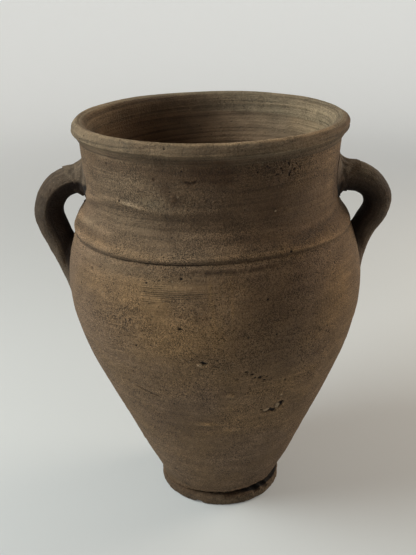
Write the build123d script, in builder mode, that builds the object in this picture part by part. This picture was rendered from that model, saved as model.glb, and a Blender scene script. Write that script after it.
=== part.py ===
"""An olla: a round-bellied earthenware pot with a wide mouth and two pulled handles.

The pot is built up as a potter builds it. A flat disc is the foot. The wall stands on it
in two lengths that meet in a bevelled seam under the neck, where the upper length laps over
the lower one as a low band. A thick coil is the rim. Each handle is a pulled strap that is
luted to the neck with a coil of soft clay, and its tail is pressed down on the belly.
"""

import os
from math import cos, radians, sin

from build123d import *

# Driving dimensions, in millimetres and degrees. Radii are taken on the outside of the wall.

# Foot
foot_radius = 61.5
foot_thickness = 10.0
foot_edge_radius = 3.5

# Wall: its thickness, and the height from each point of its curve to the next
wall = 9.0
belly_rise = 218.0
seam_rise = 54.0
shoulder_rise = 14.0
neck_rise = 13.0
collar_rise = 52.0

# Wall: how wide it is at each of those points, and how its two ends lean outwards
base_radius = 56.0
base_flare = 28.5
flank_swell = 9.0
belly_radius = 138.0
seam_inset = 10.5
shoulder_inset = 17.0
neck_inset = 22.0
mouth_spread = 2.3
mouth_flare = 5.0

# Seam: its bevel rises towards the cavity, and the upper length laps over the lower one
bevel_rise = 3.0
band_lap = 1.4
band_crown = 1.0

# Rim coil: it swells out of the wall to a round edge, and rolls over a crest into the mouth
lip_height = 19.0
lip_overhang = 6.2
lip_roll = 7.5
crest_inset = 6.4

# Handles: a strap of oval section that bends down from the neck and thins towards its tail
handle_thickness = 27.0
handle_width = 34.0
handle_rise = 12.0
handle_bend = 26.0
handle_turn = 110.0
finger_gap = 24.0
tail_drop = 10.0
tail_sink = 7.5
tail_thickness = 12.0
tail_width = 20.0
tail_slant = 10.0

# Luting coils: soft clay pressed round the upper root of each handle, more of it above
luting_length = 10.0
luting_spread = 6.0
luting_lift = 2.0
luting_edge = 1.0

# Heights and radii that follow from the driving dimensions
belly_z = foot_thickness + belly_rise
seam_z = belly_z + seam_rise
shoulder_z = seam_z + shoulder_rise
neck_z = shoulder_z + neck_rise
mouth_z = neck_z + collar_rise
flank_z = (foot_thickness + belly_z) / 2
flank_radius = (base_radius + belly_radius) / 2 + flank_swell
seam_radius = belly_radius - seam_inset
shoulder_radius = belly_radius - shoulder_inset
neck_radius = belly_radius - neck_inset
mouth_radius = neck_radius + mouth_spread


def leaning(angle):
    """Upward direction in a section that leans outwards from the vertical."""
    return Vector(sin(radians(angle)), cos(radians(angle)))


def make_wall_line(points):
    """Curve of one side of the wall, with x as the radius and y as the height.

    The wall stands upright at the neck. Both ends run on by a wall thickness, so that the
    foot's top and the plane of the mouth cut the wall square.
    """
    *body_points, mouth = points
    base = body_points[0]
    neck = body_points[-1]
    with BuildLine() as line:
        Line(base - leaning(base_flare) * wall, base)
        body_curve = Spline(*body_points, tangents=[leaning(base_flare), leaning(0)])
        Spline(neck, mouth, tangents=[leaning(0), leaning(mouth_flare)])
        Line(mouth, mouth + leaning(mouth_flare) * wall)
    return line.line, body_curve


# Outside of the wall, and its inside, which follows it at the wall's thickness
crease = Vector(seam_radius, seam_z)
shoulder = Vector(shoulder_radius, shoulder_z)
body_points = [
    Vector(base_radius, foot_thickness),
    Vector(flank_radius, flank_z),
    Vector(belly_radius, belly_z),
    crease,
    shoulder,
    Vector(neck_radius, neck_z),
]
mouth_point = Vector(mouth_radius, mouth_z)
outer_line, outer_body = make_wall_line([*body_points, mouth_point])
headings = [outer_body % outer_body.param_at_point(point) for point in body_points]
headings.append(leaning(mouth_flare))
inner_points = []
for point, heading in zip([*body_points, mouth_point], headings):
    inner_points.append(point + Vector(-heading.Y, heading.X) * wall)
inner_line, _ = make_wall_line(inner_points)

with BuildSketch() as wall_section:
    with BuildLine():
        add(outer_line)
        add(inner_line)
        Line(outer_line @ 0, inner_line @ 0)
        Line(outer_line @ 1, inner_line @ 1)
    make_face()

# Section of the band: a ledge at the crease of the seam, and a low crown up to the shoulder
ledge = crease + Vector(band_lap, 0)
with BuildSketch() as band_section:
    with BuildLine():
        Line(crease, ledge)
        SagittaArc(ledge, shoulder, -band_crown)
        Polyline(shoulder, shoulder - Vector(wall / 2, 0), crease)
    make_face()

# The bevel's line through the crease, from the axis to a radius clear of the pot
clear_radius = belly_radius + wall
bevel = Vector(wall, -bevel_rise)
bevel_inner = crease - bevel * (seam_radius / wall)
bevel_outer = crease + bevel * ((clear_radius - seam_radius) / wall)

# Foot: a disc with worn edges
with BuildPart() as foot_disc:
    Cylinder(foot_radius, foot_thickness, align=(Align.CENTER, Align.CENTER, Align.MIN))
    fillet(foot_disc.edges(), foot_edge_radius)

# Lower length of the wall: from the foot's top up to the bevel
with BuildPart() as belly_wall:
    with BuildSketch(Plane.XZ):
        add(wall_section.sketch)
        with BuildLine():
            base_edge = [(0, foot_thickness), (clear_radius, foot_thickness)]
            Polyline(*base_edge, bevel_outer, bevel_inner, close=True)
        make_face(mode=Mode.INTERSECT)
    revolve(axis=Axis.Z)

# Upper length of the wall: from the bevel up to the mouth, with the band
with BuildPart() as shoulder_neck:
    with BuildSketch(Plane.XZ):
        add(wall_section.sketch)
        with BuildLine():
            mouth_edge = [(clear_radius, mouth_z), (0, mouth_z)]
            Polyline(bevel_inner, bevel_outer, *mouth_edge, close=True)
        make_face(mode=Mode.INTERSECT)
        add(band_section.sketch)
    revolve(axis=Axis.Z)

# Rim: a coil on the square top of the wall
edge_radius = mouth_radius + lip_overhang
crest_z = mouth_z + lip_height
mouth_inner_radius = mouth_radius - wall / cos(radians(mouth_flare))
with BuildPart() as rim_coil:
    with BuildSketch(Plane.XZ):
        with BuildLine():
            seat_inner = (mouth_inner_radius, mouth_z)
            seat_outer = (mouth_radius, mouth_z)
            lip_edge = (edge_radius, crest_z - lip_roll)
            crest = (edge_radius - crest_inset, crest_z)
            Line(seat_inner, seat_outer)
            Spline(seat_outer, lip_edge, crest, tangents=[leaning(mouth_flare), (-1, 0)])
            Spline(crest, seat_inner, tangents=[(-1, 0), -leaning(mouth_flare)])
        make_face()
    revolve(axis=Axis.Z)

# Everything inside the outer surface of the pot, which handles and luting are cut back to
with BuildPart() as pot_body:
    with BuildSketch(Plane.XZ):
        with BuildLine():
            add(outer_line)
            top_end = outer_line @ 1
            base_end = outer_line @ 0
            Polyline(top_end, (0, top_end.Y), (0, base_end.Y), base_end)
        make_face()
        add(band_section.sketch)
    revolve(axis=Axis.Z)

# Centre line of a handle: straight out of the neck, round a bend, and down along the belly into it
root_z = neck_z + handle_rise
root_start = neck_radius - wall / 2
handle_reach = neck_radius + finger_gap + handle_thickness / 2
tail_end = (belly_radius - tail_sink, belly_z - tail_drop)
with BuildLine() as handle_line:
    root_run = Line((root_start, root_z), (handle_reach - handle_bend, root_z))
    handle_arc = JernArc(root_run @ 1, root_run % 1, handle_bend, -handle_turn)
    tail_run = Spline(handle_arc @ 1, tail_end, tangents=[handle_arc % 1, -leaning(tail_slant)])


def upright_plane(side):
    """Section plane of a handle: outwards along +X or -X, and up along Z."""
    return Plane((0, 0, 0), x_dir=(side, 0, 0), z_dir=(0, -side, 0))


def between(start, end, share):
    """Value at a share of the way from start to end."""
    return start + (end - start) * share


def make_strap(side):
    """The strap of one handle, on the side of +X or -X, with both ends still inside the wall."""
    upright = upright_plane(side)
    stations = [(root_run, 0, 0), (root_run, 1, 0), (handle_arc, 1 / 3, 0), (handle_arc, 2 / 3, 0)]
    stations += [(tail_run, share / 4, share / 4) for share in range(5)]
    with BuildPart() as strap:
        for edge, place, taper in stations:
            centre = upright.from_local_coords(edge @ place)
            heading = upright.from_local_coords(edge % place)
            with BuildSketch(Plane(centre, x_dir=(0, 1, 0), z_dir=heading)):
                section_width = between(handle_width, tail_width, taper)
                section_thickness = between(handle_thickness, tail_thickness, taper)
                Ellipse(section_width / 2, section_thickness / 2)
        loft()
    return strap.part


def make_handle(strap):
    """A handle: its strap, cut back to the outside of the pot."""
    with BuildPart() as handle:
        add(strap)
        add(pot_body.part, mode=Mode.SUBTRACT)
    return handle.part


def make_luting(side, strap):
    """The luting coil round the upper root of one strap."""
    upright = upright_plane(side)
    ends = [
        (root_start, root_z + luting_lift, luting_spread),
        (neck_radius + luting_length, root_z, luting_edge),
    ]
    with BuildPart() as luting:
        for reach, height, spread in ends:
            centre = upright.from_local_coords(Vector(reach, height))
            with BuildSketch(Plane(centre, x_dir=(0, 1, 0), z_dir=upright.x_dir)):
                Ellipse(handle_width / 2 + spread, handle_thickness / 2 + spread)
        loft()
        add(strap, mode=Mode.SUBTRACT)
        add(pot_body.part, mode=Mode.SUBTRACT)
    return luting.part


pieces = {
    "foot_disc": foot_disc.part,
    "belly_wall": belly_wall.part,
    "shoulder_neck": shoulder_neck.part,
    "rim_coil": rim_coil.part,
}
for side_name, side in (("left", -1), ("right", 1)):
    strap = make_strap(side)
    pieces[f"{side_name}_handle"] = make_handle(strap)
    pieces[f"{side_name}_luting_coil"] = make_luting(side, strap)

os.makedirs("parts", exist_ok=True)
for name, piece in pieces.items():
    piece.label = name
    export_step(piece, f"parts/{name}.step")
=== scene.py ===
"""The looks of an olla: an unglazed, smoke-darkened earthenware pot with two strap handles.

Every piece is a mesh that replaces one CAD node, in the same place, with the unevenness of
a pot made by hand: throwing lines, dents, pits, scratches and worn edges. Lengths are in metres
where a comment doesn't say millimetres. Angles round the pot are in degrees from the front,
positive towards the right handle.
"""

import math

import bpy
import numpy as np
from mathutils import Matrix, Vector


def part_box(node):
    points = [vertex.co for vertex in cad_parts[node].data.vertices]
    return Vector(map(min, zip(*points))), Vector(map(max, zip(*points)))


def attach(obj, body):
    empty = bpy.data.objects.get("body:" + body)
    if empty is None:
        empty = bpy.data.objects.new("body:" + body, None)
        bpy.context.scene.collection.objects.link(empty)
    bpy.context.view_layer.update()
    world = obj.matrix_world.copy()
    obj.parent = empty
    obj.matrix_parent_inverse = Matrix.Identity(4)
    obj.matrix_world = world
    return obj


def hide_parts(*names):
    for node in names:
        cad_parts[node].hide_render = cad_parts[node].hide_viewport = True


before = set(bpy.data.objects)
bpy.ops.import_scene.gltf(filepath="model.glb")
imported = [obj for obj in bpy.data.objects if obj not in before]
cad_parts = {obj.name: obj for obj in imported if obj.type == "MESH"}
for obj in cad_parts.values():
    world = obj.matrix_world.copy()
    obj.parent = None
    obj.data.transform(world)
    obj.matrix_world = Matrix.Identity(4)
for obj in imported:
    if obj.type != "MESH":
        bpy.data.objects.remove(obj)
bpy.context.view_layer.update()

MM = 0.001

# Picture: its height in pixels, and a camera that looks down on the pot from in front
IMAGE_HEIGHT = 555
FOCAL_PIXELS = 834
SENSOR_HEIGHT = 36
CAMERA_DISTANCE = 0.749
CAMERA_HEIGHT = 0.5237
CAMERA_YAW = 0.72
CAMERA_PITCH = 22
CAMERA_ROLL = 1.2

# Heights and radii that the frame gives
FOOT_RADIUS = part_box("foot_disc")[1].x
FOOT_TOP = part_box("foot_disc")[1].z
BELLY_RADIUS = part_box("belly_wall")[1].x
SEAM_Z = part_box("shoulder_neck")[0].z
BAND_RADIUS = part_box("shoulder_neck")[1].x
MOUTH_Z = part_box("rim_coil")[0].z
CREST_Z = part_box("rim_coil")[1].z

# Shape of the wall between them, and how far its lengths run on under the rim and into the foot
WALL = 9 * MM
BASE_RADIUS = 56 * MM
BASE_FLARE = 28.5
BELLY_Z = 228 * MM
FLANK_SWELL = 9 * MM
SEAM_RADIUS = 127.5 * MM
SHOULDER_RADIUS = 121 * MM
SHOULDER_Z = 296 * MM
NECK_RADIUS = 116 * MM
NECK_Z = 309 * MM
MOUTH_RADIUS = 118.3 * MM
MOUTH_FLARE = 5
BEVEL_RISE = 3 * MM
BAND_CROWN = 1 * MM
BAND_STEPS = 40
MOUTH_LAP = 0.5 * MM
FOOT_LAP = 1.5 * MM

# How a pot made by hand leaves the true form: it leans, and its seam isn't level
LEAN = -0.013
SEAM_TILT = {
    "sine": 0.7 * MM, "cosine": 0.2 * MM, "sine_twice": 1.7 * MM, "cosine_twice": 1.6 * MM,
}
SEAM_TILT_REACH = 62 * MM

# Fineness of the meshes: columns round the front and the back, and steps along a section
FRONT_REACH = 78
BELLY_COLUMNS = (420, 180)
NECK_COLUMNS = (480, 240)
RIM_COLUMNS = (480, 240)
FOOT_COLUMNS = (300, 180)
HANDLE_COLUMNS = 128
FINE_FROM = 120 * MM
FINE_STEP = 0.85 * MM
PLAIN_STEP = 1.4 * MM
INNER_STEP = 8 * MM
NECK_INNER_STEP = 2.5 * MM
RIM_STEP = 0.6 * MM
FLAT_STEP = 5 * MM
EDGE_STEPS = 9
SHARP_ANGLE = 70
NOISE_CELLS = 32
RELIEF_CELLS = 4

# Unevenness of the clay: distance from bump to bump and height in millimetres, and seed
HAND_BUMPS = ((85, 0.6, 11), (34, 0.26, 12), (13, 0.12, 13))
SAND_BUMPS = ((5.5, 0.06, 14), (2.8, 0.09, 15))
ROUGH_BUMPS = ((2.6, 0.5, 36),)
THROWING_LINES = ((8, 0.16, 16), (3.2, 0.09, 17))
NECK_LINES = 1.2
RIM_LINES = 2.4
LINE_COUNT = 256
LINE_WANDER = 0.8
LINE_WANDER_SCALE = 90 * MM
LINE_FADE = (0.65, 0.35)
LINE_FADE_SCALE = 70 * MM
LINE_SEEDS = {"wander": 50, "fade": 70}

# Unevenness of outlines: distance from bump to bump in millimetres, strength and seed
RAGGED = ((4, 0.4, 31), (1.8, 0.45, 32))
CLOUDY = ((22, 0.5, 34), (9, 0.3, 35))

# How steep the edges of spots and of pits are
SPOT_STEEPNESS = 1.5
PIT_STEEPNESS = 2.0

# What the clay is marked with: tones, some of them painted shade and painted light, painted shade in
# hollows, pale places, and how far it stands out
MARKS = ("ochre", "soot", "ash", "bloom", "wiped", "pale", "hole", "rough", "comb", "relief")

# Pits, darkened with painted shade: angle, height, half width, half height and depth, lengths in
# millimetres
PITS = {
    "belly": (
        (-12, 230, 1.4, 1, 1.6), (-29.5, 208, 0.8, 0.9, 1), (-24.5, 266, 0.9, 0.7, 0.7),
        (-59, 247, 0.8, 0.8, 0.9), (-62.6, 276, 0.8, 0.7, 0.7), (-11.4, 272, 1.1, 0.9, 1),
        (18.8, 253, 0.9, 0.9, 0.9), (21.7, 221, 0.8, 0.8, 0.6), (46, 207, 0.8, 0.8, 0.6),
        (51, 267, 0.7, 1.1, 0.6), (-4.6, 197.5, 2.3, 1.5, 2), (11, 186.5, 1.3, 0.9, 1.1),
        (13.4, 183, 1.5, 1.1, 1.3), (14.6, 179, 1.2, 0.9, 1.1), (16.6, 178.5, 1.7, 1.3, 1.5),
        (18.6, 175.4, 1.5, 1, 1.2), (19.4, 178.4, 1, 0.8, 1), (28, 169, 0.9, 0.9, 0.9),
        (23.2, 134.4, 4.4, 2.7, 2.4), (28.6, 137.6, 4.6, 3.2, 2.6), (26, 132.4, 2.8, 1.6, 1.8),
        (29.8, 140.2, 2.4, 1.8, 1.8), (19.8, 136.6, 1.5, 1, 1.2), (-38, 41, 1.4, 1.1, 0.7),
        (-34, 178, 0.8, 0.7, 0.5),
    ),
    "neck": (
        (-40.6, 326.2, 0.9, 0.8, 0.9), (-51.7, 362, 0.8, 0.7, 0.6), (-16.2, 339.5, 0.8, 0.7, 0.6),
        (-11, 357, 0.8, 0.7, 0.5), (28.6, 355, 0.8, 1.1, 1), (32.6, 349, 0.8, 1, 1.1),
        (35, 352.5, 0.9, 1.3, 1.2), (35.8, 357, 0.8, 1, 0.9), (32.2, 357.8, 0.6, 1.8, 0.9),
        (22.5, 358, 0.8, 0.7, 0.8), (18.5, 354.5, 0.9, 0.7, 0.8), (26.6, 350.5, 1, 0.7, 0.9),
        (37.8, 353.6, 0.7, 0.8, 0.8), (30, 287.5, 1.3, 1, 1),
    ),
    "rim": ((-16.5, 376, 0.9, 0.7, 1), (-58, 376, 0.8, 0.7, 0.6)),
}

# Small pits by chance: how many, seed, lowest and highest place, then limits of size, shape and
# depth, with lengths in millimetres, and how much painted shade darkens them
SMALL_PITS = {
    "belly": (36, 41, 15 * MM, SEAM_Z - 6 * MM), "neck": (12, 42, SEAM_Z + 6 * MM, MOUTH_Z),
}
SMALL_PIT_SIZES = (0.9, 1.4)
SMALL_PIT_SHAPES = (0.7, 1.1)
SMALL_PIT_DEPTHS = (0.3, 0.8)
SMALL_PIT_SHADE = 0.5

# Rough patches of small pits and pale grains, in the same order with their strength last
ROUGH = {
    "belly": (
        (12, 185, 6, 3.4, 1), (17.6, 177.6, 8, 5, 1), (-5.5, 142.2, 6.5, 2.2, 0.9),
        (24.5, 135.5, 10, 5, 0.8), (28.6, 152, 3.5, 3, 0.8), (60.5, 108, 5, 4, 0.7),
        (41.5, 193, 7, 5, 0.5), (-34, 232, 20, 15, 0.6), (-15.6, 275.6, 9, 2.6, 0.8),
        (-5, 244, 8, 8, 0.45), (150, 190, 16, 9, 0.6), (235, 240, 12, 8, 0.6),
    ),
    "neck": (
        (31, 352, 21, 10, 1), (20, 357, 12, 5, 0.6), (26, 320.5, 5, 2.5, 0.6), (-14, 331, 9, 6, 0.55),
        (170, 340, 14, 7, 0.6),
    ),
}
ROUGH_SOOT = 0.2

# Bits of pale stone in the clay, in the same order with how far they stand out
STONES = {
    "belly": (
        (-5.7, 196.2, 1.8, 1.3, 1.5), (22.7, 135, 2.9, 2.2, 2.3), (28.2, 137.4, 3, 2.7, 2.4),
        (28.2, 151.4, 1.4, 0.9, 0.8), (18.6, 176.2, 1, 0.8, 0.6),
    ),
    "neck": ((-13, 336, 1.1, 0.9, 0.5), (26.4, 320.2, 1, 0.8, 0.4)),
}

# Lumps and hollows, in the same order with how far they stand out and how ochre they are worn
LUMPS = {
    "belly": (
        (5.5, 161, 3.6, 2.6, 1.6, 0.3), (12, 160.6, 3, 2, 0.5, 0.25), (-5.4, 123, 9, 2.6, 1.1, 0.8),
        (-62.5, 67, 3, 3.5, 0.7, 0), (80, 150, 60, 55, 1.1, 0), (75, 25, 25, 14, -1.1, 0),
        (90, 226, 13, 17, 1.6, 0), (-90, 217, 13, 18, 1.6, 0),
    ),
    "neck": ((-84, 294, 46, 7, 2.2, 0.1), (88, 344, 34, 16, -1, 0)),
}

# Ridges round the neck: half width, height, how ochre they are worn, then angles and heights
NECK_RIDGES = (
    (3, 0.7, 0.1, ((-74, 315), (-52, 324), (-41, 326), (-28, 322.5), (-14, 323), (4, 325))),
    (2.6, 0.6, 0.1, ((-80, 293), (-62, 296.2), (-53, 296.4), (-44, 296.5))),
    (1.7, 0.5, 0.6, ((-39, 326.6), (-34, 325.8), (-27, 322.6))),
    (4.2, 1.1, 0.15, ((-100, 283), (-71, 284), (-56, 285.5), (-43, 286.2), (-26, 286.4), (-10, 288.5))),
    (1.5, 0.4, 0.15, ((-14, 286.5), (2, 288.4), (10, 289.2), (24, 289), (38, 288))),
    (2.6, 0.4, 0.05, ((-8, 303), (12, 305), (40, 302), (70, 305))),
    (3.2, 0.5, 0.15, ((96, 326), (120, 322), (165, 324), (200, 327))),
    (3, 0.5, 0.15, ((150, 297), (190, 299), (235, 296), (262, 298))),
)
# Hollow under each ridge: how much wider and how far down it is than the ridge, how deep, and its painted
# shadow
RIDGE_HOLLOW = {"wide": 1.3, "drop": 2.4, "deep": 0.6, "soot": 0.2}

# Scratches: half width and depth, then angles and heights
SCRATCHES = {
    "belly": (
        (1, 0.7, ((-35.5, 160), (-30, 156.5), (-24.5, 153))),
        (0.9, 0.4, ((-2.5, 241), (0.5, 226), (1.5, 212))),
        (1.9, 0.35, ((-7, 276.8), (4, 277.2), (14, 278), (24, 279))),
        (0.8, 0.4, ((140, 250), (152, 241))), (0.9, 0.5, ((205, 180), (222, 188))),
    ),
    "neck": (
        (0.9, 1.1, ((-10, 348.5), (-7.6, 347), (-5.2, 349))), (0.7, 0.5, ((118, 338), (126, 336))),
    ),
}
SCRATCH_BREAKS = (1.6, 0.7)
# Painted shade at the bottom of scratches
SCRATCH_SHADE = 0.6
STROKE_ENDS = 6

# Comb marks on the belly: a place as for the pits, the lines' distance and slope, and their strength
COMB_PATCH = (-15.5, 257.8, 32, 5.6)
COMB_PITCH = 1.6 * MM
COMB_SLOPE = 0.072
COMB_STRENGTH = 1.6
COMB_SHADE = 0.44
COMB_BUMP = 0.5

# Seam: a groove under the band, deep at the left and front, and the band undercut up to an edge,
# with angles and shares, or angles and heights in millimetres
GROOVE_DEPTH = 1.3 * MM
GROOVE_REACH = 1.05 * MM
GROOVE_SHADE = 0.75
GROOVE_SHARE = (
    (-180, 0.6), (-100, 0.6), (-60, 0.8), (-30, 1), (-4, 1), (3, 0.65), (14, 0.5), (26, 0.2),
    (60, 0.05), (90, 0.2),
)
BAND_UNDERCUT = 1.4 * MM
BAND_UNDERCUT_REACH = 4 * MM
# Painted shade on the band's undercut lower edge
BAND_UNDERCUT_SHADE = 0.3
BAND_EDGE = (
    (-180, 286), (-90, 282), (-45, 282.5), (-26, 283.5), (-12, 285.4), (2, 287.4), (10, 288.3),
    (35, 288), (56, 286), (90, 285),
)
UNDER_BAND = ((SEAM_RADIUS - 3 * MM, SEAM_Z + 1 * MM), (SEAM_RADIUS - 1 * MM, SEAM_Z))

# Patches of another tone: angle, height, half width and half height in millimetres, and strength
PATCHES = {
    # Ochre: partly real ochre, partly painted light that lifts the front of the belly
    "ochre": (
        (-20, 246.5, 11, 9, 0.9), (-30, 252, 30, 18, 0.45), (-50, 256, 18, 14, 0.5),
        (-12, 222, 38, 26, 0.75), (-26, 225, 34, 26, 0.3), (2, 250, 24, 14, 0.3),
        (52, 242, 24, 26, 0.75), (20, 160, 40, 22, 0.25), (2, 228, 4, 16, 0.3), (-8, 334, 9, 7, 0.35),
        (-35, 325, 13, 3.2, 0.85), (46, 289, 30, 5, 0.55), (-50, 287.5, 34, 4.5, 0.4),
        (-18, 287.5, 30, 3.6, 0.35), (10, 289.5, 40, 2.6, 0.3), (36, 345, 16, 14, 0.25),
        (-23.5, 326.5, 15, 6.5, 0.95), (-14, 266, 30, 9, 0.55), (-24, 262, 24, 9, 0.4),
        (5.7, 266, 16, 8, 0.25), (14, 122, 34, 24, 0.4), (35, 160, 30, 25, 0.35),
        (-17, 212, 22, 14, 0.3), (5, 179, 16, 9, 0.4), (5.5, 128, 18, 12, 0.35),
        (57, 243, 14, 14, 0.25), (-1.3, 262, 1.3, 12, 0.8), (-0.3, 234, 1.4, 22, 0.9),
        (6.2, 251, 1.1, 24, 0.7), (160, 230, 40, 30, 0.35), (215, 150, 25, 20, 0.35),
        (120, 180, 22, 28, 0.3),
    ),
    # Soot: partly real, partly painted shadow, as in the band under the rim at the front and left and
    # beside the right handle's root
    "soot": (
        (24, 222, 34, 45, 0.2), (44, 325, 28, 28, 0.15), (14, 338, 52, 34, 0.66),
        (-50, 335, 50, 30, 0.18), (-4, 312, 40, 10, 0.34), (41.5, 193, 7, 5, 0.35),
        (8, 272, 34, 7, 0.25), (-9.6, 354, 32, 11, 0.6), (2, 354, 18, 9, 0.3), (26, 325, 16, 8, 0.3),
        (71, 331, 13, 22, 0.8), (-68, 235, 26, 50, 0.12), (-34, 355, 26, 7, 0.35),
        (-58, 358, 22, 5, 0.3), (-20, 297.5, 36, 7, 0.25), (12, 299, 26, 9, 0.3),
        (27, 262, 24, 16, 0.3), (-26, 120, 26, 26, 0.22), (14, 208, 24, 18, 0.2),
        (18, 245, 26, 24, 0.3), (-14, 331, 9, 5, 0.3), (-25, 279, 40, 3, 0.3), (150, 320, 60, 40, 0.45),
        (185, 120, 40, 50, 0.35), (-120, 200, 30, 40, 0.3),
    ),
    "ash": (
        (-38, 345, 70, 30, 0.9), (-30, 305, 60, 26, 0.8), (-6, 290, 30, 16, 0.5),
        (-34, 274, 50, 7, 0.5), (175, 300, 60, 60, 0.6),
    ),
    "bloom": (
        (-34.5, 325.8, 11, 2.4, 0.2), (-24, 328, 13, 4.5, 0.3), (-66, 297, 14, 4, 0.2),
        (-17, 262, 22, 8, 0.15),
    ),
    "pale": ((-37, 324.8, 11, 2.8, 0.6), (-30.5, 323, 8, 2.2, 0.45)),
    "wiped": (
        (46, 316, 34, 26, 0.5), (-32, 307, 50, 13, 0.7), (-46, 350, 44, 9, 0.4), (20, 335, 34, 18, 0.4),
        (-20, 246.5, 11, 9, 1), (-7, 268, 28, 10, 0.9), (-16, 261, 28, 6, 0.6), (60, 250, 30, 24, 0.4),
        (150, 205, 34, 20, 0.6), (-130, 255, 40, 14, 0.6),
    ),
}

# Painted shade and painted light on the inside, as angles and shares: shade at the back and left, light
# at the right, and how far down from the mouth the painted light reaches
INSIDE_PAINTED_SHADE = (
    (-180, 0.58), (-165, 0.8), (-150, 0.82), (-110, 0.25), (-60, 0.1), (60, 0), (120, 0), (150, 0.05),
    (165, 0.25),
)
INSIDE_PAINTED_LIGHT = (
    (-180, 0.15), (-140, 0), (-60, 0.1), (40, 0.25), (85, 0.6), (105, 0.62), (125, 0.5), (150, 0.35),
)
INSIDE_PAINTED_LIGHT_OCHRE = ((-180, 0), (60, 0), (85, 0.8), (115, 0.8), (140, 0))
INSIDE_REACH = 55 * MM

# Rim: its section as radii and heights in millimetres, up the undercut to the outer ridge, over the
# slightly hollow face to the broad crest, and down inside
RIM_SECTION = (
    (118.3, 361), (119.6, 364.8), (122.5, 368.6), (124.4, 370.9), (124, 373), (123.9, 374.8),
    (122.6, 377.2), (120.6, 379.3), (119, 380), (117.2, 379.5), (113.8, 378.2), (111.2, 375.4),
    (109.8, 370), (109.3, 361),
)

# Where the rim's outer side, its inner side, the arris of its crest and the face below that set in
RIM_OUTER = (NECK_RADIUS - 1 * MM, NECK_RADIUS + 2 * MM)
RIM_INNER = (NECK_RADIUS, NECK_RADIUS - 4 * MM)
ARRIS_OUT = (NECK_RADIUS + 1 * MM, NECK_RADIUS + 3 * MM)
ARRIS_UP = (CREST_Z - 2.2 * MM, CREST_Z - 1 * MM)
BELOW_CREST = (CREST_Z - 1.2 * MM, CREST_Z - 3 * MM)

# Wear of the rim: its clouds, the ridge, the undercut below with painted shade in it, the roll that
# rounds the face, the arris, worn and partly a painted highlight, and bloom and soot, with angles and
# shares
RIM_WEAR = 0.7
RIM_WEAR_CLOUDS = ((30, 0.5, 33),)
RIDGE_Z = 370.9 * MM
RIDGE_REACH = 1.3 * MM
RIDGE_OCHRE = 0.5
UNDERCUT_Z = 365 * MM
UNDERCUT_REACH = 2.6 * MM
UNDERCUT_FILL = 0.9 * MM
UNDERCUT_SHADE = 0.4
UNDERCUT_ASH = 0.35
UNDERCUT_SHARE = (
    (-180, 0.6), (-90, 0.3), (-30, 0.4), (-5, 0.9), (25, 0.9), (50, 0.4), (90, 0.2), (120, 0.5),
)
ROLL_Z = 375.6 * MM
ROLL_REACH = 2.6 * MM
ROLL_RISE = 1.3 * MM
ROLL_SHARE = ((-180, 0.3), (-130, 0), (42, 0), (62, 1), (115, 1), (150, 0.3))
ARRIS_WEAR_AND_HIGHLIGHT = 1.4
ARRIS_SHARE = (
    (-180, 0.4), (-60, 0.2), (-15, 0.6), (10, 1), (46, 1), (62, 0.3), (95, 0.2), (125, 0.9), (155, 0.5),
)
RIM_BLOOM = (
    (-180, 0.55), (-120, 0.5), (-90, 0.4), (-60, 0.3), (-35, 0.12), (-10, 0), (50, 0), (64, 0.4),
    (110, 0.5),
)
RIM_SOOT = (
    (-180, 0), (-60, 0), (-25, 0.25), (-8, 0.1), (10, 0.42), (24, 0.05), (40, 0.1), (50, 0.2),
    (62, 0.75), (78, 0.85), (95, 0.7), (120, 0),
)

# Foot: the worn disc, chips out of its edge in the same order as the pits, and painted shade on it and on
# the wall just above it
FOOT_EDGE = 3.5 * MM
FOOT_BUMPS = ((26, 0.9, 81), (11, 0.45, 82), (4.5, 0.26, 83), (2.2, 0.2, 84))
FOOT_CHIPS = (
    (-22, 0.5, 3.6, 2.6, 1.7), (8, 10, 6, 2.5, 1.2), (35.5, 9.5, 4, 2.6, 2), (47, 9, 3, 3, 1.4),
    (88, 6, 22, 9, 1.5), (128, 8, 7, 4, 2.6), (171, 2, 6, 3, 2), (214, 9, 8, 4, 2.2),
    (262, 3, 5, 3, 1.8),
)
CHIP_SOOT = 0.2
FOOT_SHADE = 0.45
FOOT_SHADE_REACH = 12 * MM
FOOT_SHADE_SHARE = ((-180, 0.4), (-95, 0.6), (-65, 1), (-30, 1), (-8, 0.3), (40, 0.1), (90, 0.4))

# Joint of wall and foot: an open gap with its reach in millimetres and painted shade in it, the top
# of the foot darkened beside it, painted shade on the ledge beside it, and the wall smeared over the foot
FOOT_GAP = 3 * MM
FOOT_GAP_SHADE = 0.9
FOOT_GAP_REACH = ((-180, 2), (10, 2.2), (36, 3.4), (75, 4.6), (100, 2.4))
FOOT_GAP_SHARE = (
    (-180, 0.3), (-120, 0.1), (-60, 0.3), (-40, 0.5), (-18, 0.6), (6, 0.65), (20, 1), (52, 1), (90, 1),
    (106, 0.4), (130, 0.2),
)
UPPER_FOOT = (0.55 * FOOT_TOP, FOOT_TOP)
UPPER_FOOT_DARKENING = 0.3
FOOT_LEDGE = (FOOT_RADIUS - 1.5 * MM, FOOT_RADIUS - 3 * MM)
FOOT_LEDGE_SHARE = ((-180, 0), (5, 0), (25, 0.6), (50, 1), (100, 1), (125, 0))
SMEAR_RISE = 4.6 * MM
SMEAR_REACH = 6 * MM
SMEAR_SHARE = (
    (-180, 0.4), (-120, 0.8), (-60, 1), (-32, 0.6), (-14, 0.1), (20, 0), (60, 0), (90, 0.4), (140, 0.3),
)

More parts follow.
